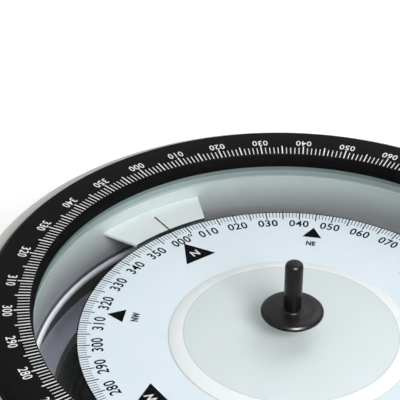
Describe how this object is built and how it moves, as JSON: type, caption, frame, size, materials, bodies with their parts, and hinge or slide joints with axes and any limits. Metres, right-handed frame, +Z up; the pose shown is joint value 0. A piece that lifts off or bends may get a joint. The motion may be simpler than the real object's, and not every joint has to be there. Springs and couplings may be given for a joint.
{
  "type": "magnetic compass",
  "caption": "Liquid compass bowl in a gimbal ring: floating degree card on a jewelled pivot, black bearing ring, lubber plate and lift-out shadow pin.",
  "frame": {"origin": "the gimbal's centre, where the bowl's trunnion axis crosses the axis of the gimbal ring's own trunnions", "axes": "+Z up along the card's spindle and the shadow pin, +Y towards the lubber line and along the outer trunnions, X along the bowl's trunnions"},
  "size_m": [0.315, 0.337, 0.1231],
  "materials": {
    "bowl_paint": "satin paint on a non-magnetic casting",
    "bowl_grey": "satin slate paint",
    "ring_black": "satin black with white engraving",
    "pin_black": "satin black",
    "bright_metal": "bright, non-magnetic",
    "brass": "plain",
    "magnet": "dark plating",
    "card_white": "matt white with black print",
    "float_white": "matt",
    "jewel": "polished",
    "rubber": "matt",
    "gasket": "matt, pale",
    "gasket_dark": "matt, slate",
    "top_glass": "clear",
    "bottom_glass": "dark"
  },
  "bodies": {
    "gimbal": {"gimbal_ring": "bowl_paint", "trunnion_bush_port": "brass", "trunnion_bush_starboard": "brass", "outer_trunnion_fore": "bright_metal", "outer_trunnion_aft": "bright_metal", "gimbal_lock_screws": "bright_metal"},
    "bowl": {"upper_bowl": "bowl_paint", "lower_bowl": "bowl_grey", "joint_ring": "bright_metal", "seam_screws": "bright_metal", "filler_plug": "brass", "filler_washer": "rubber", "top_gasket": "gasket", "top_glass": "top_glass", "clamp_gasket": "gasket_dark", "bearing_ring": "ring_black", "bearing_ring_screws": "bright_metal", "lubber_plate": "card_white", "plate_screws": "bright_metal", "pin_foot": "pin_black", "pivot_bridge": "bowl_grey", "bridge_screws": "bright_metal", "pivot_stem": "brass", "pivot_point": "bright_metal", "diaphragm": "rubber", "diaphragm_clamp_ring": "ring_black", "clamp_screws": "bright_metal", "bottom_glass_frame": "ring_black", "bottom_gasket": "rubber", "bottom_glass": "bottom_glass", "ballast_ring": "brass", "ballast_screws": "bright_metal", "trunnion_pin_port": "bright_metal", "trunnion_pin_starboard": "bright_metal"},
    "card": {"card_disc": "card_white", "float_cover": "float_white", "float_body": "float_white", "jewel_holder": "brass", "jewel_cup": "jewel", "magnet_carrier": "bright_metal", "magnet_port": "magnet", "magnet_starboard": "magnet"},
    "azimuth_pin": {"shadow_pin": "pin_black"}
  },
  "joints": [
    {"name": "bowl_tilt", "type": "hinge", "parent": "gimbal", "child": "bowl", "pos_m": [0, 0, 0], "axis": [1, 0, 0], "range_deg": [-40, 40]},
    {"name": "card_turn", "type": "hinge", "parent": "bowl", "child": "card", "pos_m": [0, 0, 0.02], "axis": [0, 0, 1], "continuous": true},
    {"name": "pin_lift", "type": "slide", "parent": "bowl", "child": "azimuth_pin", "axis": [0, 0, 1], "range_m": [0, 0.02]}
  ]
}
